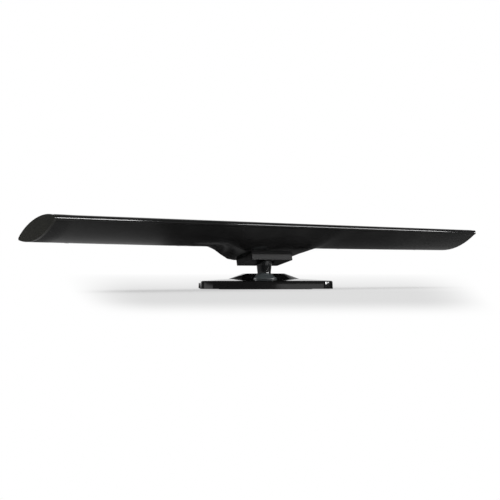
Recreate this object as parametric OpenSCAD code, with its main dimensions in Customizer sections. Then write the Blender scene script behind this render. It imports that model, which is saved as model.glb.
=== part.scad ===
// Amplified indoor television antenna: a long lens-shaped wing with a
// hull-shaped pod, on a tilting head plate, a short swivelling stalk and a
// weighted base. The wing lies along X, +Y is the rear and the floor is Z = 0.

/* [Wing] */
// Length of the wing along its front edge
wing_l = 480; // [360:5:560]
// Depth of the wing from front edge to rear edge, at its ends
chord = 75.5; // [66:0.5:90]
// Distance from the tilt axis forward to the middle of the wing's depth
wing_ahead = 25.3; // [22:0.1:30]
// Height of the wing's parting plane above the tilt axis
wing_up = 16; // [14:0.5:22]
// Depth of the belly below the parting plane's edges
belly = 7.4; // [4:0.1:9]
// Height of the crown above the parting plane's edges
crown = 6.6; // [4:0.1:10]
// Thickness of the rolled front rim
rim_t = 4.5; // [4:0.1:6]
// Thickness of the rear edge
tip_t = 3; // [2.8:0.1:4]
// How much deeper the wing is at its middle than at its ends, in percent
bow = 5; // [0:1:10]
// Angle of the raked ends, in degrees
end_rake = 4; // [0:0.5:8]
// Thickness of the wing's walls
wall = 1.8; // [1.4:0.1:2.2]
// Thickness of the end caps
cap_t = 2.4; // [1.6:0.1:4]

/* [Pod] */
// Half length of the pod's flat floor
pod_half = 27; // [26:0.5:34]
// Length of the pod's flank at its rear end
flank_rear = 33; // [24:1:40]
// Length of the pod's flank at its front end
flank_front = 15; // [12:1:30]
// Half length of the shallow flare where it meets the rear edge
flare_rear = 60; // [55:1:80]
// Half length of the shallow flare where it meets the front edge
flare_front = 150; // [110:5:180]
// Share of the pod's depth that belongs to the shallow flare
flare_share = 0.25; // [0:0.05:0.4]
// How far the pod's tail bulges behind the wing's rear edge
pod_tail = 3; // [2:0.5:6]

/* [Head plate and tilt] */
// Length of the head plate
plate_l = 49.6; // [46:0.2:53]
// Depth of the head plate
plate_d = 28.6; // [27:0.2:30]
// Thickness of the head plate
plate_t = 5.65; // [5:0.05:6]
// Height of the tilt axis above the underside of the head plate
pivot_up = 6; // [6:0.1:6.6]
// Height of the tilt axis above the floor
pivot_z = 32; // [30:0.5:60]
// Angle by which the wing's front edge is tilted up, in degrees
tilt = 11.9; // [-15:0.1:15]
// Largest tilt either way, in degrees
tilt_max = 15; // [5:1:15]
// Diameter of the tilt pin
pin_d = 4; // [3:0.1:5]

/* [Stalk] */
// Diameter of the stalk under the head plate
stalk_d = 15.2; // [14:0.1:16]
// Diameter of the stalk's waist above its foot
waist_d = 13.4; // [12:0.1:14]
// Diameter of the stalk's conical foot
foot_d = 30; // [26:1:34]
// Diameter of the spigot that turns in the base
spigot_d = 16; // [14:0.5:18]
// Width of the knuckle between the ears
knuckle_w = 13; // [11:0.5:13]

/* [Base] */
// Length of the base
base_l = 129.2; // [120:0.2:160]
// Depth of the base
base_w = 74.5; // [68:0.5:90]
// Radius of the base's corners
base_r = 11.6; // [8:0.2:16]
// Height of the base's edge above the floor
base_h = 8.4; // [8:0.1:12]
// Rise of the base's crowned top from its edge to its middle
base_crown = 1.5; // [1:0.1:3]
// Height of the ridge on the middle of the base
ridge_h = 5.5; // [4:0.1:7]
// Length of the ridge at its foot
ridge_l = 80; // [70:1:90]
// Angle by which the base is turned away from the wing, in degrees
base_turn = -27.3; // [-60:0.1:60]
// Thickness of the base's walls
base_wall = 2; // [1.6:0.1:2.4]

/* [Fits] */
// Radial clearance of the running fits
run_gap = 0.05; // [0.03:0.01:0.1]
// Clearance beside parts that move past each other
side_gap = 0.4; // [0.3:0.05:0.6]
// Width of the joint lines between the covers
joint_gap = 0.5; // [0.3:0.1:0.8]

/* [Hidden] */

gloss = [0.05, 0.05, 0.055];
satin = [0.16, 0.16, 0.15];
plated = [0.75, 0.75, 0.73];
round_fn = 48;
// Gap between two pieces that rest on each other
seat = 0.05;
// Radial clearance round a thread and round a shank that passes through
thread_gap = 0.05;
shank_gap = 0.3;

// The wing's outline in the head's own frame: the tilt axis is its origin
half_l = wing_l / 2;
front_s = -wing_ahead - chord / 2;
pod_floor = plate_t - pivot_up + seat;
pod_front = -plate_d / 2 - 1;
pod_rear = plate_d / 2 + 0.5;
half_steps = 24;
skin_steps = 18;
rim_steps = 12;
rim_from = 268;
rim_blunt = 0.7;
tip_steps = 3;

function clamp(v) = min(max(v, 0), 1);
function bell(v) = (1 + cos(180 * clamp(v))) / 2;
function fullness(x) = 1 + bow / 100 * (1 - pow(x / half_l, 2));
function ahead(s) = clamp((pod_rear - s) / (pod_rear - front_s));
function chine(s) = pod_half + 0.3 * max(0, pod_front - s);
function flank(s) = flank_rear + (flank_front - flank_rear) * ahead(s);
function flare(s) = flare_rear + (flare_front - flare_rear) * ahead(s);

// Share of the pod's depth at one place: a steep flank plus a wide flare
function pod_share(x, s) =
    (1 - flare_share) * bell((abs(x) - chine(s)) / flank(s))
    + flare_share * bell((abs(x) - chine(s)) / (flare(s) - chine(s)));

function rear_s(x) =
    front_s + chord * fullness(x) + pod_tail * bell((abs(x) - pod_half) / flank_rear);
function skin_front() = front_s + rim_t / 2 + joint_gap;
function skin_rear(x) = rear_s(x) - tip_t / 2;
function edge_half(v) = (rim_t * (1 - v) + tip_t * v) / 2;

// Underside of the pod along the middle of the wing: a full bow, a flat
// floor over the head plate and a steep tail
function keel(s, tail) =
    let (bow_t = clamp((pod_front - s) / (pod_front - skin_front())),
         tail_t = clamp((s - pod_rear) / (tail - pod_rear)))
    pod_floor
    + (wing_up - rim_t / 2 - pod_floor) * pow(bow_t, 3)
    + (wing_up - tip_t / 2 - pod_floor) * (1 - sqrt(1 - tail_t * tail_t));

function skin_s(x, v) = skin_front() + v * (skin_rear(x) - skin_front());
function lens_low(x, v) = wing_up - edge_half(v) - belly * fullness(x) * 4 * v * (1 - v);
function lens_top(x, v) =
    wing_up + edge_half(v) + crown * fullness(x) * pow(4 * v * (1 - v), 0.85);
function skin_low(x, v) =
    let (s = skin_s(x, v), low = lens_low(x, v))
    low - pod_share(x, s) * max(0, low - keel(s, skin_rear(x)));
function share_at(x, s) = (s - skin_front()) / (skin_rear(x) - skin_front());

// The front rim is a roll whose front face is flattened
function blunt(v) = sign(v) * pow(abs(v), rim_blunt);
function rim_point(a) = [front_s + rim_t / 2, wing_up] + rim_t / 2 * [blunt(cos(a)), blunt(sin(a))];

// Points of the two skins in one cross section, from front to rear
function wave(i, n) = (1 - cos(180 * i / n)) / 2;
function low_line(x) = concat(
    [for (i = [0 : skin_steps]) let (v = wave(i, skin_steps)) [skin_s(x, v), skin_low(x, v)]],
    [for (i = [1 : tip_steps]) let (a = -90 + 85 * i / tip_steps)
        [skin_rear(x), wing_up] + tip_t / 2 * [cos(a), sin(a)]]
);
function top_line(x) = concat(
    [for (i = [0 : rim_steps]) rim_point(rim_from - (rim_from - 90) * i / rim_steps)],
    [for (i = [1 : skin_steps]) let (v = wave(i, skin_steps)) [skin_s(x, v), lens_top(x, v)]],
    [for (i = [1 : tip_steps]) let (a = 90 - 85 * i / tip_steps)
        [skin_rear(x), wing_up] + tip_t / 2 * [cos(a), sin(a)]]
);

function reversed(line) = [for (i = [len(line) - 1 : -1 : 0]) line[i]];

// The wall is thinner near the edges, and behind the wing's middle each inner
// skin keeps to its own side of the parting plane
edge_wall = min(wall, tip_t / 2 - 0.3);
wall_taper = 0.25;
middle_s = front_s + chord / 2;
function kept(p, side) = p[0] < middle_s ? p
    : [p[0], side > 0 ? min(p[1], wing_up - 0.1) : max(p[1], wing_up + 0.1)];
function moved_in(line, side) = [for (i = [0 : len(line) - 1])
    let (d = line[min(i + 1, len(line) - 1)] - line[max(i - 1, 0)],
         t = min(wall, edge_wall + abs(line[i][1] - wing_up) * wall_taper))
    kept(line[i] + side * t / norm(d) * [-d[1], d[0]], side)];
function low_ring(x) = concat(low_line(x), reversed(moved_in(low_line(x), 1)));
function top_ring(x) = concat(top_line(x), reversed(moved_in(top_line(x), -1)));
function low_at(x, s) = skin_low(x, share_at(x, s));
function top_at(x, s) = lens_top(x, share_at(x, s));

// Stations along the wing lie closer together at the pod
function station(i) = sign(i) * pow(abs(i) / half_steps, 1.6);
function raked(t, s) = t * (half_l - cap_t + tan(end_rake) * (s - front_s));
function ring_at(ring, t) = [for (p = ring) [raked(t, p[0]), p[0], p[1]]];

// A solid through a list of closed rings with the same number of points
module loft(rings) {
    n = len(rings[0]);
    last = len(rings) - 1;
    sides = [for (k = [0 : last - 1], j = [0 : n - 1])
        let (a = k * n + j, b = k * n + (j + 1) % n)
        each [[a, b, a + n], [b, b + n, a + n]]];
    ends = [[for (j = [n - 1 : -1 : 0]) j], [for (j = [0 : n - 1]) last * n + j]];
    polyhedron([for (ring = rings, p = ring) p], concat(sides, ends), convexity = 8);
}

// Places its children in the head's frame, which tilts about X
module in_head() {
    translate([0, 0, pivot_z]) rotate([-tilt, 0, 0]) children();
}
module in_base() {
    rotate([0, 0, base_turn]) children();
}
module at_sides() {
    for (side = [0, 1]) mirror([side, 0, 0]) children();
}
// Places its children at the four corners of a rectangle
module at_corners(x, y, z) {
    for (i = [-1, 1], j = [-1, 1]) translate([i * x, j * y, z]) children();
}
module rod(r, h) {
    cylinder(r = r, h = h, $fn = round_fn);
}
module tube(outer_r, inner_r, h) {
    difference() {
        rod(outer_r, h);
        translate([0, 0, -1]) rod(inner_r, h + 2);
    }
}
// A cross-recessed screw that points up: its head hangs below Z = 0
module screw(head_r, head_h, shank_r, length) {
    slot_w = head_r * 0.26;
    difference() {
        union() {
            translate([0, 0, -head_h]) rod(head_r, head_h);
            translate([0, 0, -head_h / 2]) rod(shank_r, length + head_h / 2);
        }
        for (a = [0, 90]) rotate([0, 0, a])
            translate([-head_r * 0.6, -slot_w / 2, -head_h - 1])
                cube([head_r * 1.2, slot_w, 1 + head_h / 2]);
    }
}
corner_steps = 9;
function rounded(l, d, r) = [for (q = [0 : 3], i = [0 : corner_steps])
    let (a = 90 * (q + i / corner_steps),
         sx = (q == 0 || q == 3) ? 1 : -1,
         sy = (q < 2) ? 1 : -1)
    [sx * (l / 2 - r) + r * cos(a), sy * (d / 2 - r) + r * sin(a)]];
module rounded_plate(l, d, r, h) {
    linear_extrude(h) polygon(rounded(l, d, r));
}

// Screws that hold the two covers together
shell_screw_x = [wing_l * 0.2, wing_l * 0.43];
shell_screw_s = front_s + chord * 0.78;
shell_screw_r = 1.4;
shell_head_r = 2.9;
shell_head_h = 1.7;
shell_head_sunk = 1.4;
shell_head_in = shell_head_sunk + shell_head_h + seat;
shell_boss_r = shell_head_r + 1.4;
shell_boss_h = shell_head_in + 1.6;
shell_post_r = 3.4;
shell_screw_l = 7;
module at_shell_screws() {
    for (x = shell_screw_x) at_sides()
        translate([x, shell_screw_s, low_at(x, shell_screw_s)]) children();
}

module top_cover() {
    color(gloss) in_head() difference() {
        union() {
            loft([for (i = [-half_steps : half_steps])
                let (t = station(i)) ring_at(top_ring(t * half_l), t)]);
            for (x = shell_screw_x) at_sides() {
                foot = low_at(x, shell_screw_s) + shell_boss_h + seat;
                translate([x, shell_screw_s, foot])
                    rod(shell_post_r, top_at(x, shell_screw_s) - wall / 2 - foot);
            }
        }
        at_shell_screws() rod(shell_screw_r + thread_gap, shell_head_in + shell_screw_l + 1);
    }
}

// Tilt hinge: two ears on the head plate, the stalk's knuckle between them
ear_t = 3.4;
ear_in = knuckle_w / 2 + side_gap;
ear_out = ear_in + ear_t;
ear_r = 6.6;
slot_half = stalk_d / 2 + pivot_up * sin(tilt_max) + 2 * side_gap;

// Screws that hold the head plate under the pod
plate_screw_x = plate_l / 2 - 5;
plate_screw_s = plate_d / 2 - 4.4;
plate_screw_r = 1.4;
plate_screw_l = 7.4;
plate_head_r = 2.8;
plate_head_h = 1.8;
plate_head_in = 2.2;
plate_boss_r = 3.2;
plate_boss_h = 5.5;
plate_r = 1.6;

// Amplifier board over the hinge, with the two sockets behind its rear edge
socket_s = ear_r + 0.2;
board_l = 66;
board_d = 26;
board_t = 1.6;
board_z = max(ear_r, stalk_d / 2) + 2;
board_top = board_z + board_t;
board_s = socket_s - 0.3 - board_d / 2;
board_hole_x = board_l / 2 - 4;
board_hole_s = board_d / 2 - 4;
board_screw_r = 1;
board_screw_l = 4.6;
board_head_r = 2.2;
board_head_h = 1.4;
board_post_r = 2.6;
module at_board_screws(z) {
    translate([0, board_s, z]) at_corners(board_hole_x, board_hole_s, 0) children();
}

// Sockets
socket_up = 7.6;
socket_x = 11.5;
socket_l = 23.5;
socket_r = 4.76;
socket_thread_l = 10;
socket_neck_r = 4.3;
socket_chamfer = 0.5;
socket_block = [9, 9.2, 4.5];
core_r = 3.6;
core_hole_r = 0.75;
core_in = 0.8;
jack_x = -11.5;
jack_l = 11.4;
jack_r = 3.9;
jack_bore_r = 2.75;
jack_bore_l = 9;
jack_block = [9, 8.6, 4];
// Places its children on a socket's axis, which points to the rear as their Z
module at_socket(x) {
    translate([x, socket_s, socket_up]) rotate([-90, 0, 0]) children();
}

// Antenna arms: flat strips that are staked on posts inside the wing
arm_t = 0.8;
arm_d = 26;
arm_in = 37;
arm_out = half_l - 12;
arm_s = front_s + chord * 0.46;
arm_z = wing_up - 1;
arm_post_x = [wing_l * 0.13, wing_l * 0.3, wing_l * 0.44];
arm_post_r = 2.4;
stake_r = 1.1;
stake_h = 0.8;
tab_in = 24;
tab_d = 5;
tab_s = board_s - board_d / 2 + 0.5;

module pod_cutouts() {
    translate([-ear_out - side_gap, -slot_half - 1.5, pod_floor - 1])
        cube([2 * (ear_out + side_gap), 2 * slot_half + 3, wall + 3]);
    at_corners(plate_screw_x, plate_screw_s, pod_floor - 1)
        rod(plate_screw_r + thread_gap, plate_boss_h);
    at_socket(socket_x) translate([0, 0, socket_block[2] + 0.5]) rod(socket_r + shank_gap, socket_l);
    at_socket(jack_x) translate([0, 0, jack_block[2] + 0.5]) rod(jack_r + shank_gap, socket_l);
}

module bottom_shell() {
    color(gloss) in_head() difference() {
        union() {
            loft([for (i = [-half_steps : half_steps])
                let (t = station(i)) reversed(ring_at(low_ring(t * half_l), t))]);
            at_shell_screws() translate([0, 0, wall / 2]) rod(shell_boss_r, shell_boss_h - wall / 2);
            at_corners(plate_screw_x, plate_screw_s, pod_floor + wall / 2)
                rod(plate_boss_r, plate_boss_h - wall / 2);
            board_foot = low_at(board_hole_x, board_s) + wall / 2;
            at_board_screws(board_foot) rod(board_post_r, board_z - seat - board_foot);
            for (x = arm_post_x) at_sides() {
                foot = low_at(x, arm_s) + wall / 2;
                translate([x, arm_s, foot]) {
                    rod(arm_post_r, arm_z - seat - foot);
                    rod(stake_r, arm_z + arm_t + stake_h - foot);
                }
            }
        }
        at_shell_screws() translate([0, 0, -3]) {
            rod(shell_screw_r + shank_gap, 3 + shell_boss_h + 1);
            rod(shell_head_r + shank_gap, 3 + shell_head_in);
        }
        at_board_screws(board_z - board_screw_l) rod(board_screw_r + thread_gap, board_screw_l + 1);
        pod_cutouts();
    }
}

// End caps: the full cross section, with a hollow plug in the covers' mouth
plug_steps = 16;
plug_in = 3;
plug_wall = 1.4;
plug_from = 0.13;
cap_gap = 0.1;
function flat_end(line) = [for (p = line) [(p[0] - front_s) / cos(end_rake), p[1]]];
function plug_line(inset, v0) =
    let (v = [for (i = [0 : plug_steps]) v0 + (1 - 2 * v0) * i / plug_steps])
    concat([for (w = v) [skin_s(half_l, w), lens_top(half_l, w) - inset]],
           reversed([for (w = v) [skin_s(half_l, w), lens_low(half_l, w) + inset]]));
module end_cap(side) {
    in_head() mirror([side < 0 ? 1 : 0, 0, 0])
        translate([half_l - cap_t, front_s, 0]) rotate([0, 0, -end_rake]) rotate([90, 0, 90]) {
            translate([0, 0, cap_gap]) linear_extrude(cap_t - cap_gap)
                polygon(flat_end(concat(top_line(half_l), reversed(low_line(half_l)))));
            translate([0, 0, -plug_in]) linear_extrude(plug_in + 2 * cap_gap) difference() {
                polygon(flat_end(plug_line(wall + side_gap, plug_from)));
                polygon(flat_end(plug_line(wall + side_gap + plug_wall, plug_from + 0.04)));
            }
        }
}
module left_end_cap() { color(satin) end_cap(-1); }
module right_end_cap() { color(satin) end_cap(1); }

module element(side) {
    in_head() mirror([side < 0 ? 1 : 0, 0, 0]) difference() {
        union() {
            translate([arm_in, arm_s - arm_d / 2, arm_z]) cube([arm_out - arm_in, arm_d, arm_t]);
            translate([tab_in, tab_s, arm_z]) cube([arm_in - tab_in + 2, tab_d, arm_t]);
            translate([tab_in, tab_s, board_top + seat])
                cube([arm_t, tab_d, arm_z - board_top]);
        }
        for (x = arm_post_x) translate([x, arm_s, arm_z - 1]) rod(stake_r + 0.2, arm_t + 2);
    }
}
module left_element() { color(plated) element(-1); }
module right_element() { color(plated) element(1); }

module circuit_board() {
    color("darkgreen") in_head() difference() {
        translate([-board_l / 2, board_s - board_d / 2, board_z]) cube([board_l, board_d, board_t]);
        at_board_screws(board_z - 1) rod(board_screw_r + shank_gap, board_t + 2);
    }
}
can = [26, 18, 4.5];
can_t = 0.4;
module shield_can() {
    color(plated) in_head() translate([-can[0] / 2, board_s - can[1] / 2 - 2, board_top + seat])
        difference() {
            cube(can);
            translate([can_t, can_t, -1]) cube([can[0] - 2 * can_t, can[1] - 2 * can_t, 1 + can[2] - can_t]);
        }
}
module board_screws() {
    color(plated) in_head() at_board_screws(board_top + seat)
        mirror([0, 0, 1]) screw(board_head_r, board_head_h, board_screw_r, board_screw_l);
}
module coax_socket() {
    color(plated) in_head() at_socket(socket_x) difference() {
        union() {
            rod(socket_neck_r, socket_l - socket_chamfer);
            translate([0, 0, socket_l - socket_chamfer - socket_thread_l])
                rod(socket_r, socket_thread_l);
            translate([0, 0, socket_l - socket_chamfer])
                cylinder(r1 = socket_r, r2 = socket_r - socket_chamfer, h = socket_chamfer, $fn = round_fn);
            translate([-socket_block[0] / 2, -socket_block[1] / 2, 0]) cube(socket_block);
        }
        translate([0, 0, socket_block[2]]) rod(core_r + seat, socket_l);
    }
}
module socket_core() {
    color("white") in_head() at_socket(socket_x) translate([0, 0, socket_block[2] + seat])
        tube(core_r, core_hole_r, socket_l - socket_block[2] - core_in);
}
module power_jack() {
    color([0.1, 0.1, 0.1]) in_head() at_socket(jack_x) difference() {
        union() {
            rod(jack_r, jack_l);
            translate([-jack_block[0] / 2, -jack_block[1] / 2, 0]) cube(jack_block);
        }
        translate([0, 0, jack_l - jack_bore_l]) rod(jack_bore_r, jack_bore_l + 1);
    }
}
module shell_screws() {
    color(satin) in_head() at_shell_screws() translate([0, 0, shell_head_sunk + shell_head_h])
        screw(shell_head_r, shell_head_h, shell_screw_r, shell_screw_l);
}

module head_plate() {
    color(gloss) in_head() difference() {
        union() {
            translate([0, 0, -pivot_up]) rounded_plate(plate_l, plate_d, plate_r, plate_t);
            at_sides() translate([ear_in, 0, 0]) {
                rotate([0, 90, 0]) rod(ear_r, ear_t);
                translate([0, -ear_r, -pivot_up + 1]) cube([ear_t, 2 * ear_r, pivot_up - 1]);
            }
        }
        translate([-ear_in, -slot_half, -pivot_up - 1]) cube([2 * ear_in, 2 * slot_half, plate_t + 2]);
        translate([-ear_out - 1, 0, 0]) rotate([0, 90, 0])
            rod(pin_d / 2 + thread_gap, 2 * ear_out + 2);
        at_corners(plate_screw_x, plate_screw_s, -pivot_up - 1) {
            rod(plate_screw_r + shank_gap, plate_t + 2);
            rod(plate_head_r + shank_gap, 1 + plate_head_in);
        }
    }
}
module plate_screws() {
    color(satin) in_head() at_corners(plate_screw_x, plate_screw_s, plate_head_in - pivot_up - seat)
        screw(plate_head_r, plate_head_h, plate_screw_r, plate_screw_l);
}
module tilt_pin() {
    color(plated) in_head() translate([-ear_out, 0, 0]) rotate([0, 90, 0])
        rod(pin_d / 2, 2 * ear_out);
}

// Stalk: knuckle, tapered neck, conical foot and the spigot that turns in the base
top_z = base_h + base_crown;
foot_z = top_z + 0.3;
foot_edge = 0.5;
foot_h = ridge_h - 0.4;
foot_steps = 6;
foot_hollow = 1.12;
neck_z = pivot_z - pivot_up - 1.5;
knuckle_low = pivot_z - pivot_up - 1;
ridge_z = top_z + ridge_h;
spigot_z = 6.4;
spigot_r = spigot_d / 2;
knuckle_r = stalk_d / 2 - 0.2;
swivel_screw_r = 1.8;
swivel_head_r = 4;
swivel_head_h = 1.3;
swivel_screw_l = 12;
washer_t = 1;
module stalk() {
    color(gloss) difference() {
        union() {
            rotate_extrude($fn = 64) polygon(concat(
                [[0, spigot_z], [spigot_r - run_gap, spigot_z], [spigot_r - run_gap, foot_z],
                 [foot_d / 2, foot_z]],
                [for (i = [0 : foot_steps]) let (t = i / foot_steps)
                    [(waist_d + (foot_d - waist_d) * pow(1 - t, foot_hollow)) / 2,
                     foot_z + foot_edge + foot_h * t]],
                [[stalk_d / 2, neck_z], [stalk_d / 2, pivot_z], [0, pivot_z]]));
            translate([-knuckle_w / 2, 0, pivot_z]) rotate([0, 90, 0])
                cylinder(r = knuckle_r, h = knuckle_w, $fn = 64);
        }
        at_sides() translate([knuckle_w / 2, -stalk_d, knuckle_low])
            cube([stalk_d, 2 * stalk_d, 2 * stalk_d]);
        translate([-stalk_d, 0, pivot_z]) rotate([0, 90, 0])
            rod(pin_d / 2 + run_gap, 2 * stalk_d);
        translate([0, 0, spigot_z - 1]) rod(swivel_screw_r + thread_gap, swivel_screw_l);
    }
}
module spring_washer() {
    color(plated) translate([0, 0, spigot_z - washer_t]) tube(spigot_r + 2, 4.6, washer_t - seat);
}
module swivel_washer() {
    color(plated) translate([0, 0, spigot_z - 2 * washer_t])
        tube(spigot_r + 3, swivel_screw_r + shank_gap, washer_t - seat);
}
module swivel_screw() {
    color(plated) translate([0, 0, spigot_z - 2 * washer_t - seat])
        screw(swivel_head_r, swivel_head_h, swivel_screw_r, swivel_screw_l);
}

// Base
lift = 0.6;
floor_t = 2.2;
floor_top = lift + floor_t;
pad_l = 92;
pad_w = 46;
pad_r = 6;
pad_in = 0.4;
pad_gap = 0.2;
ballast = [96, 50, 3.1];
base_screw_x = base_l / 2 - 10;
base_screw_y = base_w / 2 - 10;
base_screw_r = 1.3;
base_head_r = 2.4;
base_head_h = 1;
base_head_sunk = 0.1;
base_screw_l = 3.8;
base_boss_r = 3;
bearing_wall = 4;
ridge_d = 24;
ridge_sunk = 1.5;
ridge_foot_flat = ridge_l * 0.65;
ridge_top_l = ridge_l * 0.53;
ridge_top_flat = ridge_l * 0.45;
slab_t = 0.02;
// Rolled edge of the base's top: inset and drop of each step
base_edge = [[0.25, 1.2], [0.7, 0.4], [1.5, 0]];
crown_flat = [base_l * 0.62, base_w * 0.38, 6];
module slab(inset, z) {
    translate([0, 0, z])
        rounded_plate(base_l - 2 * inset, base_w - 2 * inset, base_r - inset, slab_t);
}
module base_body(inset, low) {
    hull() {
        slab(inset, low);
        for (e = base_edge) slab(inset + e[0], base_h - inset - e[1]);
        translate([0, 0, top_z - inset]) rounded_plate(crown_flat[0], crown_flat[1], crown_flat[2], slab_t);
    }
}
// A long six-sided ridge: level edges in front and behind, pointed at its ends
module ridge_slab(l, flat, d, z) {
    translate([0, 0, z]) linear_extrude(slab_t)
        polygon([[-l / 2, 0], [-flat / 2, -d / 2], [flat / 2, -d / 2],
                 [l / 2, 0], [flat / 2, d / 2], [-flat / 2, d / 2]]);
}
module ridge() {
    hull() {
        ridge_slab(ridge_l, ridge_foot_flat, ridge_d, top_z - ridge_sunk);
        ridge_slab(ridge_top_l, ridge_top_flat, ridge_d / 2, ridge_z);
    }
}
module base_cover() {
    recess_r = foot_d / 2 + side_gap;
    recess_h = foot_edge + 0.7;
    color(gloss) in_base() difference() {
        union() {
            difference() {
                base_body(0, lift);
                base_body(base_wall, lift - 1);
            }
            ridge();
            translate([0, 0, spigot_z + 0.2]) rod(spigot_r + bearing_wall, top_z - spigot_z - 0.8);
            at_corners(base_screw_x, base_screw_y, floor_top + seat)
                rod(base_boss_r, base_h - 1 - floor_top);
        }
        translate([0, 0, spigot_z - 1]) rod(spigot_r, 2 * top_z);
        translate([0, 0, top_z]) cylinder(r = recess_r, h = recess_h, $fn = 64);
        translate([0, 0, top_z + recess_h - 0.01])
            cylinder(r1 = recess_r, r2 = waist_d / 2 + side_gap + 1, h = ridge_h, $fn = 64);
        at_corners(base_screw_x, base_screw_y, lift)
            rod(base_screw_r + thread_gap, base_head_h + base_screw_l + 1);
    }
}
module base_bottom() {
    side = base_wall + 0.5;
    color(satin) in_base() difference() {
        translate([0, 0, lift])
            rounded_plate(base_l - 2 * side, base_w - 2 * side, base_r - side, floor_t);
        translate([0, 0, lift - 1])
            rounded_plate(pad_l + 2 * pad_gap, pad_w + 2 * pad_gap, pad_r + pad_gap, 1 + pad_in + seat);
        at_corners(base_screw_x, base_screw_y, lift - 1) {
            rod(base_screw_r + shank_gap, floor_t + 2);
            rod(base_head_r + shank_gap, 1 + base_head_sunk + base_head_h + seat);
        }
    }
}
module ballast_weight() {
    color("gray") in_base() translate([0, 0, floor_top + seat]) difference() {
        rounded_plate(ballast[0], ballast[1], pad_r, ballast[2]);
        translate([0, 0, -1]) rod(spigot_r + bearing_wall + 2, ballast[2] + 2);
    }
}
module rubber_pad() {
    color([0.1, 0.1, 0.1]) in_base() rounded_plate(pad_l, pad_w, pad_r, lift + pad_in);
}
module base_screws() {
    color(satin) in_base() at_corners(base_screw_x, base_screw_y, lift + base_head_sunk + base_head_h)
        screw(base_head_r, base_head_h, base_screw_r, base_screw_l);
}

top_cover();
bottom_shell();
left_end_cap();
right_end_cap();
left_element();
right_element();
circuit_board();
shield_can();
coax_socket();
socket_core();
power_jack();
board_screws();
shell_screws();
head_plate();
plate_screws();
tilt_pin();
stalk();
spring_washer();
swivel_washer();
swivel_screw();
base_cover();
base_bottom();
ballast_weight();
rubber_pad();
base_screws();
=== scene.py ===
import math

import bpy
from mathutils import Matrix, Vector


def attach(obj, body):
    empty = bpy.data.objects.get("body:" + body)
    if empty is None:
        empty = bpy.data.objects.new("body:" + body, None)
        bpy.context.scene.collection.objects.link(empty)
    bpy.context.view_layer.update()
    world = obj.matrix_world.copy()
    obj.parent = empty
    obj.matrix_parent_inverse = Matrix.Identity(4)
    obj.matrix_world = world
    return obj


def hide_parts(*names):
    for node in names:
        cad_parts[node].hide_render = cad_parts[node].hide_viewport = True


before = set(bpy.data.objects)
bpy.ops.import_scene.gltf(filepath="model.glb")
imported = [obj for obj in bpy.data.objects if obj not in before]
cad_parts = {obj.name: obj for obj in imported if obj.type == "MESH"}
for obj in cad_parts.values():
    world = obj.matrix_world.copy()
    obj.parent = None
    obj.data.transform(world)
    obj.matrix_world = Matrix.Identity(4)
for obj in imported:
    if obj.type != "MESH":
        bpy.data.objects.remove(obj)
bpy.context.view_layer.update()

# Lengths are in metres and angles in degrees, unless a name says otherwise

# The photograph's view: a lens just above the tabletop, in front of the left end
CAMERA_AT = (-0.4857, -0.7220, 0.0160)
CAMERA_TURN = -33.0
CAMERA_TO_STALK = 0.87
FOCAL_MM = 62.55
SENSOR_MM = 36.0
HORIZON_BELOW_MIDDLE = 0.0458
# Where that lens looks, seen from above: east and north
VIEW_LINE = (0.5446, 0.8387)

# The head's tilt in the photograph, and the height of the hinge pin
TILT = 11.9
TILT_AXIS_UP = 0.032

# The coax socket's thread has 32 turns to the inch
THREAD_PITCH = 0.0254 / 32.0

# The supply socket's centre pin, on the socket's axis in the level head's own frame
PIN_R = 0.00105
PIN_L = 0.0083
PIN_MIDDLE = (-0.0115, 0.0133, 0.0076)
PIN_ROUNDING = 0.0003

# The stalk's cone is satin up to the first height, with a lighter teal grey painted on it as a reflection,
# and its neck is polished from the second
CONE_TOP = (0.0145, 0.0165)
# Its shoulder stands a little lower in the copy, so that the head plate's underside
# stays clear of it at both ends of the tilt
SHOULDER_UP = 0.025
STOP_CLEARANCE = 0.00015

# Only edges sharper than this are rounded
SHARP_FROM = 40.0

# Brightness of the room: the light on matt surfaces, the dim walls, and the painted shade of the
# table near the base as seen and the same as mirrored in the gloss
AMBIENT = 0.78
DIM_ROOM = 0.10
TABLE_NEAR = 0.74
MIRRORED_NEAR = 0.19
TABLE_R = 9.0


class Value:
    """A socket that plain arithmetic works on; each operation adds its Math node."""

    def __init__(self, nodes, socket):
        self.nodes = nodes
        self.socket = socket

    def _math(self, operation, first, second):
        return self.nodes.add("ShaderNodeMath", {"operation": operation}, {0: first, 1: second})

    def __add__(self, other):
        return self._math("ADD", self, other)

    def __radd__(self, other):
        return self._math("ADD", other, self)

    def __sub__(self, other):
        return self._math("SUBTRACT", self, other)

    def __rsub__(self, other):
        return self._math("SUBTRACT", other, self)

    def __mul__(self, other):
        return self._math("MULTIPLY", self, other)

    def __rmul__(self, other):
        return self._math("MULTIPLY", other, self)

    def __truediv__(self, other):
        return self._math("DIVIDE", self, other)

    def __pow__(self, other):
        return self._math("POWER", self, other)

    def at_least(self, other):
        return self._math("MAXIMUM", self, other)


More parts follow.
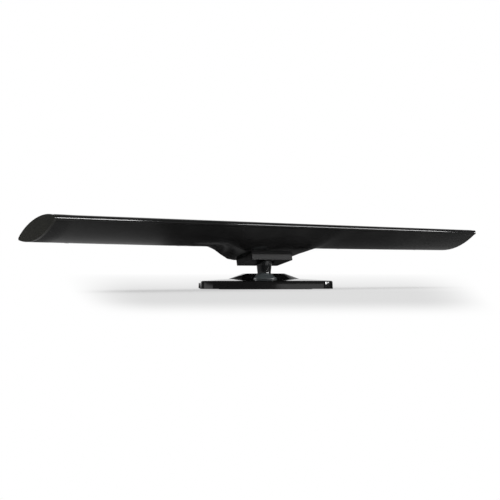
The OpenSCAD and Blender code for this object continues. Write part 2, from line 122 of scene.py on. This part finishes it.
class Nodes:
    """The node tree of one finish, or of the room's light."""

    def __init__(self, owner):
        self.owner = owner
        owner.use_nodes = True
        self.tree = owner.node_tree
        self.tree.nodes.clear()

    def feed(self, value, socket):
        """Joins a Value to a socket, or sets the socket to a plain number or color."""
        if isinstance(value, Value):
            self.tree.links.new(value.socket, socket)
        else:
            socket.default_value = value

    def add(self, kind, settings=None, inputs=None, output=0):
        node = self.tree.nodes.new(kind)
        for name, setting in (settings or {}).items():
            setattr(node, name, setting)
        for name, value in (inputs or {}).items():
            self.feed(value, node.inputs[name])
        return Value(self, node.outputs[output]) if len(node.outputs) else None

    def place(self):
        return self.add("ShaderNodeTexCoord", output="Object")

    def axes(self, vector):
        """The three parts of a vector: east, north and up."""
        node = self.tree.nodes.new("ShaderNodeSeparateXYZ")
        self.feed(vector, node.inputs[0])
        return [Value(self, part) for part in node.outputs]

    def rays(self):
        """Whether the camera sees this directly, and whether it is mirrored in something."""
        node = self.tree.nodes.new("ShaderNodeLightPath")
        camera, glossy, through = (
            Value(self, node.outputs[name])
            for name in ("Is Camera Ray", "Is Glossy Ray", "Is Transmission Ray")
        )
        return camera, glossy + through

    def noise(self, scale, detail=2.0, roughness=0.5):
        return self.add(
            "ShaderNodeTexNoise",
            inputs={"Vector": self.place(), "Scale": scale, "Detail": detail, "Roughness": roughness},
        )

    def between(self, value, low, high, new_low, new_high):
        """Goes softly from new_low to new_high while the value goes from low to high."""
        return self.add(
            "ShaderNodeMapRange",
            {"interpolation_type": "SMOOTHSTEP"},
            {"Value": value, "From Min": low, "From Max": high, "To Min": new_low, "To Max": new_high},
        )

    def mixed(self, factor, first, second):
        """One color going over into another."""
        node = self.tree.nodes.new("ShaderNodeMix")
        node.data_type = "RGBA"
        for name, kind, value in (("Factor", "VALUE", factor), ("A", "RGBA", first), ("B", "RGBA", second)):
            self.feed(value, next(s for s in node.inputs if s.name == name and s.type == kind))
        return Value(self, next(s for s in node.outputs if s.type == "RGBA"))

    def bump(self, height, distance):
        return self.add("ShaderNodeBump", inputs={"Height": height, "Distance": distance, "Strength": 1.0})

    def surface(self, **inputs):
        """The shader itself; a keyword's underscores stand for the spaces in a socket's name."""
        named = {name.replace("_", " "): value for name, value in inputs.items()}
        shader = self.add("ShaderNodeBsdfPrincipled", inputs=named)
        self.add("ShaderNodeOutputMaterial", inputs={"Surface": shader})
        return self.owner


def finish(name):
    return Nodes(bpy.data.materials.new(name))


def grey(level):
    return (level, level, level, 1.0)


# Finishes


def piano_black(name, level=0.014, roughness=0.05, specular=0.25):
    """Polished black moulding: a faint cloud of handling marks and a very soft orange peel."""
    nodes = finish(name)
    clouds = nodes.noise(28.0, 3.0)
    hairlines = nodes.noise(900.0, 1.0)
    wear = nodes.between(clouds, 0.35, 0.75, 0.0, 1.0)
    peel = nodes.noise(240.0, 1.0)
    return nodes.surface(
        Base_Color=nodes.mixed(wear, grey(level), grey(level * 1.5)),
        Roughness=roughness + wear * 0.03 + hairlines * 0.02,
        Specular_IOR_Level=specular,
        Normal=nodes.bump(peel, 0.000006),
    )


def neck_and_cone_black(name):
    """The stalk's moulding: polished on the neck, satin on the cone, with a painted reflection as a lighter
    teal grey on the cone.
    """
    nodes = finish(name)
    up = nodes.axes(nodes.place())[2]
    on_cone = nodes.between(up, *CONE_TOP, 1.0, 0.0)
    grain = nodes.noise(2600.0, 2.0)
    return nodes.surface(
        # The cone's lighter teal grey is a painted reflection; the neck keeps its near black
        Base_Color=nodes.mixed(on_cone, (0.016, 0.017, 0.017, 1.0), (0.17, 0.195, 0.2, 1.0)),
        Roughness=0.16 + on_cone * 0.16 + (grain - 0.5) * 0.06,
        Normal=nodes.bump(grain, 0.000003),
    )


def satin_black(name, color, roughness, grain_scale=5200.0, depth=0.00002):
    """Spark-eroded moulding: an even fine grain that breaks up the gloss."""
    nodes = finish(name)
    grain = nodes.noise(grain_scale, 2.0, 0.6)
    clouds = nodes.noise(35.0, 2.0)
    lighter = tuple(1.35 * part for part in color) + (1.0,)
    return nodes.surface(
        Base_Color=nodes.mixed(nodes.between(clouds, 0.3, 0.7, 0.0, 1.0), color + (1.0,), lighter),
        Roughness=roughness + (grain - 0.5) * 0.16,
        Specular_IOR_Level=0.4,
        Normal=nodes.bump(grain, depth),
    )


def plated_metal(name, color, roughness=0.28):
    """Zinc plate or rolled aluminium with a soft cloudy sheen and fine scratches."""
    nodes = finish(name)
    clouds = nodes.noise(420.0, 3.0)
    drawn_out = nodes.add(
        "ShaderNodeMapping", inputs={"Vector": nodes.place(), "Scale": (400.0, 6000.0, 6000.0)}
    )
    scratches = nodes.add("ShaderNodeTexNoise", inputs={"Vector": drawn_out, "Scale": 1.0, "Detail": 2.0})
    darker = tuple(0.72 * part for part in color) + (1.0,)
    return nodes.surface(
        Base_Color=nodes.mixed(nodes.between(clouds, 0.35, 0.7, 0.0, 1.0), color + (1.0,), darker),
        Metallic=1.0,
        Roughness=roughness + (clouds - 0.5) * 0.2 + (scratches - 0.5) * 0.1,
        Normal=nodes.bump(scratches, 0.000008),
    )


def threaded_nickel(name):
    """Nickel-plated barrel whose fine thread runs round the socket's tilted axis, with painted shade
    darkening the thread's grooves.
    """
    nodes = finish(name)
    along_socket = nodes.add(
        "ShaderNodeMapping",
        inputs={"Vector": nodes.place(), "Rotation": (math.radians(TILT), 0.0, 0.0)},
    )
    # The wave texture makes 10 / pi bands to the unit
    thread_and_groove_shade = nodes.add(
        "ShaderNodeTexWave",
        {"wave_type": "BANDS", "bands_direction": "Y", "wave_profile": "SIN"},
        {"Vector": along_socket, "Scale": math.pi / 10.0 / THREAD_PITCH, "Distortion": 0.0},
        output="Fac",
    )
    clouds = nodes.noise(500.0, 2.0)
    return nodes.surface(
        # The thread's grooves are darker: painted shade
        Base_Color=nodes.mixed(thread_and_groove_shade, (0.42, 0.41, 0.39, 1.0), (0.74, 0.73, 0.70, 1.0)),
        Metallic=1.0,
        Roughness=0.22 + clouds * 0.14,
        Normal=nodes.bump(thread_and_groove_shade, 0.00025),
    )


def board_green(name):
    """Solder mask over faint copper runs."""
    nodes = finish(name)
    runs = nodes.add(
        "ShaderNodeTexBrick",
        inputs={"Vector": nodes.place(), "Scale": 260.0, "Mortar Size": 0.03, "Mortar Smooth": 0.2},
        output="Fac",
    )
    return nodes.surface(
        Base_Color=nodes.mixed(runs, (0.012, 0.10, 0.03, 1.0), (0.03, 0.2, 0.06, 1.0)),
        Roughness=0.32 + runs * 0.08,
        Normal=nodes.bump(runs, 0.00004),
    )


def insulator_white(name):
    """Waxy white moulding round the coax socket's contact."""
    nodes = finish(name)
    clouds = nodes.noise(300.0, 2.0)
    return nodes.surface(
        Base_Color=nodes.mixed(clouds, (0.80, 0.79, 0.74, 1.0), (0.9, 0.89, 0.85, 1.0)),
        Roughness=0.42 + (clouds - 0.5) * 0.1,
        Normal=nodes.bump(clouds, 0.00001),
    )


def foamed_rubber(name):
    """Black rubber sheet with open pores, each pore darkened with painted shade."""
    nodes = finish(name)
    pores_and_pit_shade = nodes.add(
        "ShaderNodeTexVoronoi", inputs={"Vector": nodes.place(), "Scale": 1400.0}, output="Distance"
    )
    return nodes.surface(
        # Darker in each pore: painted shade
        Base_Color=nodes.mixed(pores_and_pit_shade, grey(0.012), grey(0.045)),
        Roughness=0.86 - pores_and_pit_shade * 0.12,
        Specular_IOR_Level=0.25,
        Normal=nodes.bump(pores_and_pit_shade, 0.00012),
    )


def bare_steel(name):
    """Sawn mild steel with a dull mill scale."""
    nodes = finish(name)
    mill_scale = nodes.noise(160.0, 4.0, 0.6)
    patches = nodes.between(mill_scale, 0.4, 0.65, 0.0, 1.0)
    return nodes.surface(
        Base_Color=nodes.mixed(patches, (0.22, 0.21, 0.2, 1.0), (0.34, 0.33, 0.32, 1.0)),
        Metallic=0.85,
        Roughness=0.45 + mill_scale * 0.2,
        Normal=nodes.bump(mill_scale, 0.00005),
    )


top_cover_black = piano_black("cover_black")
bottom_shell_black = piano_black("shell_black", roughness=0.13)
head_plate_black = piano_black("plate_black", level=0.006, roughness=0.36, specular=0.17)
base_cover_black = piano_black("base_black", level=0.008, specular=0.5)
end_cap_black = satin_black("cap_black", (0.012, 0.012, 0.009), 0.16, depth=0.000003)
stalk_black = neck_and_cone_black("stalk_black")
base_bottom_black = satin_black("underside_black", (0.02, 0.02, 0.02), 0.5, 2600.0, 0.00004)
power_jack_black = satin_black("socket_black", (0.014, 0.014, 0.014), 0.42)
screw_black = satin_black("screw_black", (0.03, 0.03, 0.032), 0.3, 2400.0, 0.00001)
zinc_plate = plated_metal("zinc", (0.62, 0.61, 0.58))
element_aluminium = plated_metal("arm_aluminium", (0.78, 0.78, 0.79), 0.33)
coax_nickel = threaded_nickel("nickel")
core_white = insulator_white("core")
solder_mask = board_green("mask_green")
pad_rubber = foamed_rubber("rubber")
ballast_steel = bare_steel("steel_plate")

# Pieces whose own skins stay as they are, hidden inside or flat
KEPT_FINISHES = {
    "left_element": element_aluminium,
    "right_element": element_aluminium,
    "circuit_board": solder_mask,
    "shield_can": zinc_plate,
    "socket_core": core_white,
    "board_screws": zinc_plate,
    "shell_screws": screw_black,
    "plate_screws": screw_black,
    "tilt_pin": zinc_plate,
    "spring_washer": zinc_plate,
    "swivel_washer": zinc_plate,
    "swivel_screw": zinc_plate,
    "base_bottom": base_bottom_black,
    "ballast_weight": ballast_steel,
    "rubber_pad": pad_rubber,
    "base_screws": screw_black,
}
# Pieces that show, for which softened copies stand: finish, material slot, body,
# smoothing angle and edge rounding
SOFTENED_FINISHES = {
    "top_cover": (top_cover_black, "cover_gloss", "head", 38.0, 0.0),
    "bottom_shell": (bottom_shell_black, "cover_gloss", "head", 38.0, 0.0),
    "left_end_cap": (end_cap_black, "end_cap_satin", "head", 30.0, 0.0003),
    "right_end_cap": (end_cap_black, "end_cap_satin", "head", 30.0, 0.0003),
    "head_plate": (head_plate_black, "plate_gloss", "head", 30.0, 0.00045),
    "coax_socket": (coax_nickel, "plated_brass", "head", 30.0, 0.00015),
    "power_jack": (power_jack_black, "socket_plastic", "head", 30.0, 0.0002),
    "stalk": (stalk_black, "stalk_gloss", "stalk", 34.0, 0.0003),
    "base_cover": (base_cover_black, "base_gloss", "base", 34.0, 0.0002),
}


# Pieces


def pick(piece):
    bpy.ops.object.select_all(action="DESELECT")
    piece.select_set(True)
    bpy.context.view_layer.objects.active = piece


def mark_outer_edges(mesh):
    """Gives a bevel weight to the sharp edges that stick out, and none to inner corners."""
    beside = {}
    for polygon in mesh.polygons:
        for key in polygon.edge_keys:
            beside.setdefault(key, []).append(polygon)
    weights = mesh.attributes.new("bevel_weight_edge", "FLOAT", "EDGE")
    for edge in mesh.edges:
        faces = beside.get(edge.key, [])
        if len(faces) == 2:
            first, second = faces
            sharp = first.normal.dot(second.normal) < math.cos(math.radians(SHARP_FROM))
            sticks_out = (second.center - first.center).dot(first.normal) < 0.0
            weights.data[edge.index].value = 1.0 if sharp and sticks_out else 0.0


def round_outer_edges(piece, rounding):
    mark_outer_edges(piece.data)
    bevel = piece.modifiers.new("edges", "BEVEL")
    bevel.width = rounding
    bevel.segments = 2
    bevel.limit_method = "WEIGHT"
    bpy.ops.object.modifier_apply(modifier=bevel.name)


def keep_flats_flat(piece):
    flats = piece.modifiers.new("flats", "WEIGHTED_NORMAL")
    flats.keep_sharp = True
    flats.weight = 100
    bpy.ops.object.modifier_apply(modifier=flats.name)


def give_finish(node, material):
    """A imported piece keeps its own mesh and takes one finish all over."""
    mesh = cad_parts[node].data
    if not mesh.materials:
        mesh.materials.append(material)
    for index in range(len(mesh.materials)):
        mesh.materials[index] = material


def softened_copy(node, material, slot_name, body, smooth_angle, rounding):
    """A copy with its facets joined, its sharp edges rounded and its curves smooth."""
    piece = bpy.data.objects.new(node + "_skin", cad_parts[node].data.copy())
    bpy.context.scene.collection.objects.link(piece)
    piece.data.materials.clear()
    piece.data.materials.append(material)
    pick(piece)
    bpy.ops.object.mode_set(mode="EDIT")
    bpy.ops.mesh.select_all(action="SELECT")
    bpy.ops.mesh.remove_doubles(threshold=0.000004)
    bpy.ops.mesh.tris_convert_to_quads(
        face_threshold=math.radians(1.0), shape_threshold=math.radians(180.0)
    )
    bpy.ops.object.mode_set(mode="OBJECT")
    if rounding:
        round_outer_edges(piece, rounding)
    bpy.ops.object.shade_smooth_by_angle(angle=math.radians(smooth_angle))
    if rounding:
        keep_flats_flat(piece)
    for polygon in piece.data.polygons:
        polygon.material_index = 0
    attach(piece, body)
    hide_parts(node)
    return piece


def lower_shoulder(stalk_copy):
    for vertex in stalk_copy.data.vertices:
        if abs(vertex.co.z - SHOULDER_UP) < 0.00005:
            vertex.co.z -= STOP_CLEARANCE
    stalk_copy.data.update()


def supply_pin():
    """The contact in the middle of the supply socket, tilted with the head."""
    bpy.ops.object.select_all(action="DESELECT")
    bpy.ops.mesh.primitive_cylinder_add(vertices=32, radius=PIN_R, depth=PIN_L)
    pin = bpy.context.object
    pin.name = "supply_pin"
    lies_back = Matrix.Translation(PIN_MIDDLE) @ Matrix.Rotation(math.radians(-90.0), 4, "X")
    tilted = Matrix.Translation((0.0, 0.0, TILT_AXIS_UP)) @ Matrix.Rotation(math.radians(-TILT), 4, "X")
    pin.data.transform(tilted @ lies_back)
    pin.data.materials.append(zinc_plate)
    pick(pin)
    round_outer_edges(pin, PIN_ROUNDING)
    bpy.ops.object.shade_smooth_by_angle(angle=math.radians(35.0))
    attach(pin, "head")


# Table, room, lamps and camera


def on_view_line(east, north):
    """Distance along the line from the photograph's camera past the stalk, and across it."""
    return (
        east * VIEW_LINE[0] + north * VIEW_LINE[1],
        east * VIEW_LINE[1] - north * VIEW_LINE[0],
    )


def white_share(nodes, along, across):
    """0 where the table is shaded round the base, 1 where the photograph shows plain white."""
    # The shade round the base is painted: the table's glow is darker there
    past = (along + 0.15).at_least(0.0)
    behind = past / (past + 0.5)
    before = nodes.between(along, -0.56, -0.36, 1.0, 0.0)
    sideways = across / (along + CAMERA_TO_STALK) - 0.012
    aside = nodes.between(sideways * sideways, 0.022, 0.058, 0.0, 1.0)
    return 1.0 - (1.0 - behind) * (1.0 - before) * (1.0 - aside)


def mirrored_table(nodes, east, north, along, across):
    """How bright the table is painted in the gloss: painted shade under the wing and in front of the base,
    brighter to the left and to the front right.
    """
    reach = (east * east + north * north) ** 0.5
    to_the_left = nodes.between(across, -0.16, -0.03, 1.35, 0.35)
    to_the_right = nodes.between(across, 0.12, 0.26, 0.0, 0.4)
    lane = across + 0.05 + 0.18 * along
    painted_shade_lane = nodes.between(lane * lane, 0.0006, 0.003, 0.2, 1.0)
    level = nodes.between(reach, 0.35, 1.2, MIRRORED_NEAR, 1.0) * (to_the_left + to_the_right)
    front = nodes.between(along, -0.3, -0.22, 1.0, 0.0)
    front_right = nodes.between(across + 0.23 * along, 0.0, 0.03, 0.06, 1.0)
    return level * painted_shade_lane * (1.0 - front) + front * front_right


def tabletop():
    """A matt white table with painted shade round the base, and plain white further out."""
    bpy.ops.object.select_all(action="DESELECT")
    bpy.ops.mesh.primitive_circle_add(vertices=96, radius=TABLE_R, fill_type="NGON", location=(0, 0, 0))
    table = bpy.context.object
    table.name = "tabletop"
    nodes = finish("tabletop_white")
    east, north, _ = nodes.axes(nodes.place())
    along, across = on_view_line(east, north)
    camera, mirrored = nodes.rays()
    white = white_share(nodes, along, across)
    # The table's glow is darkened round the base: a painted shadow of the antenna
    seen_level_painted_shade = TABLE_NEAR + (1.0 - TABLE_NEAR) * white
    # The table as mirrored in the gloss is painted: painted shade and painted brightness both
    mirrored_level = mirrored_table(nodes, east, north, along, across)
    board = nodes.add(
        "ShaderNodeBsdfPrincipled",
        inputs={"Base Color": grey(TABLE_NEAR), "Roughness": 0.5, "Specular IOR Level": 0.0},
    )
    glow = nodes.add(
        "ShaderNodeEmission",
        inputs={"Color": grey(1.0), "Strength": camera * seen_level_painted_shade + mirrored * mirrored_level},
    )
    # Part of the camera's view of the table is this painted glow, so the painted shadow mixes with the real
    # one
    plain = camera * (0.6 + 0.4 * white) + mirrored
    surface = nodes.add("ShaderNodeMixShader", inputs={0: plain, 1: board, 2: glow})
    nodes.add("ShaderNodeOutputMaterial", inputs={"Surface": surface})
    table.data.materials.append(nodes.owner)


def room():
    """A white backdrop as wide as the view, and a dim room round it."""
    world = bpy.data.worlds.new("studio")
    bpy.context.scene.world = world
    nodes = Nodes(world)
    east, north, up = nodes.axes(nodes.add("ShaderNodeTexCoord", output="Generated"))
    along, _ = on_view_line(east, north)
    backdrop = nodes.between(along, 0.80, 0.93, DIM_ROOM, 1.0)
    low = nodes.between(up, 0.22, 0.5, 1.0, 0.25)
    left_wall = nodes.between(east * -0.966 + north * -0.259, 0.62, 0.78, 0.0, 1.1)
    left_low = left_wall * nodes.between(up, 0.08, 0.16, 1.0, 0.0)
    right_dimmed = nodes.between(east * 0.97 + north * 0.24, 0.75, 0.9, 1.0, 0.2)
    camera, mirrored = nodes.rays()
    in_gloss = mirrored * (backdrop * low * right_dimmed + left_low)
    on_matt = (1.0 - mirrored) * AMBIENT
    level = camera + (1.0 - camera) * (in_gloss + on_matt)
    background = nodes.add("ShaderNodeBackground", inputs={"Color": grey(1.0), "Strength": level})
    nodes.add("ShaderNodeOutputWorld", inputs={"Surface": background})


def soft_box(name, at, aim, size, watts, only_mirrored=False):
    bpy.ops.object.light_add(type="AREA", location=at)
    lamp = bpy.context.object
    lamp.name = name
    lamp.data.shape = "RECTANGLE"
    lamp.data.size, lamp.data.size_y = size
    lamp.data.energy = watts
    lamp.rotation_euler = (Vector(aim) - Vector(at)).to_track_quat("-Z", "Y").to_euler()
    lamp.visible_diffuse = not only_mirrored


def photo_camera():
    bpy.ops.object.camera_add(
        location=CAMERA_AT, rotation=(math.radians(90.0), 0.0, math.radians(CAMERA_TURN))
    )
    camera = bpy.context.object
    camera.data.lens = FOCAL_MM
    camera.data.sensor_width = SENSOR_MM
    camera.data.shift_y = HORIZON_BELOW_MIDDLE
    camera.data.clip_start = 0.005
    bpy.context.scene.camera = camera


for kept_node, kept_finish in KEPT_FINISHES.items():
    give_finish(kept_node, kept_finish)
softened = {node: softened_copy(node, *looks) for node, looks in SOFTENED_FINISHES.items()}
lower_shoulder(softened["stalk"])
supply_pin()

tabletop()
room()
soft_box("overhead", (0.05, 0.15, 1.3), (0.0, 0.0, 0.0), (1.6, 1.2), 5.0)
# These three show only in the gloss: the highlights on the wing's front rim and on the base's front
soft_box("front_strip", (0.38, -1.45, 0.31), (0.0, 0.0, 0.06), (0.24, 0.25), 9.0, only_mirrored=True)
soft_box("front_edge", (1.0, -1.2, 0.31), (0.0, 0.0, 0.06), (0.56, 0.24), 9.0, only_mirrored=True)
soft_box("front_panel", (-0.339, -1.358, 0.1), (0.0, 0.0, 0.01), (0.27, 0.2), 0.16, only_mirrored=True)
photo_camera()
bpy.context.scene.view_settings.view_transform = "Standard"
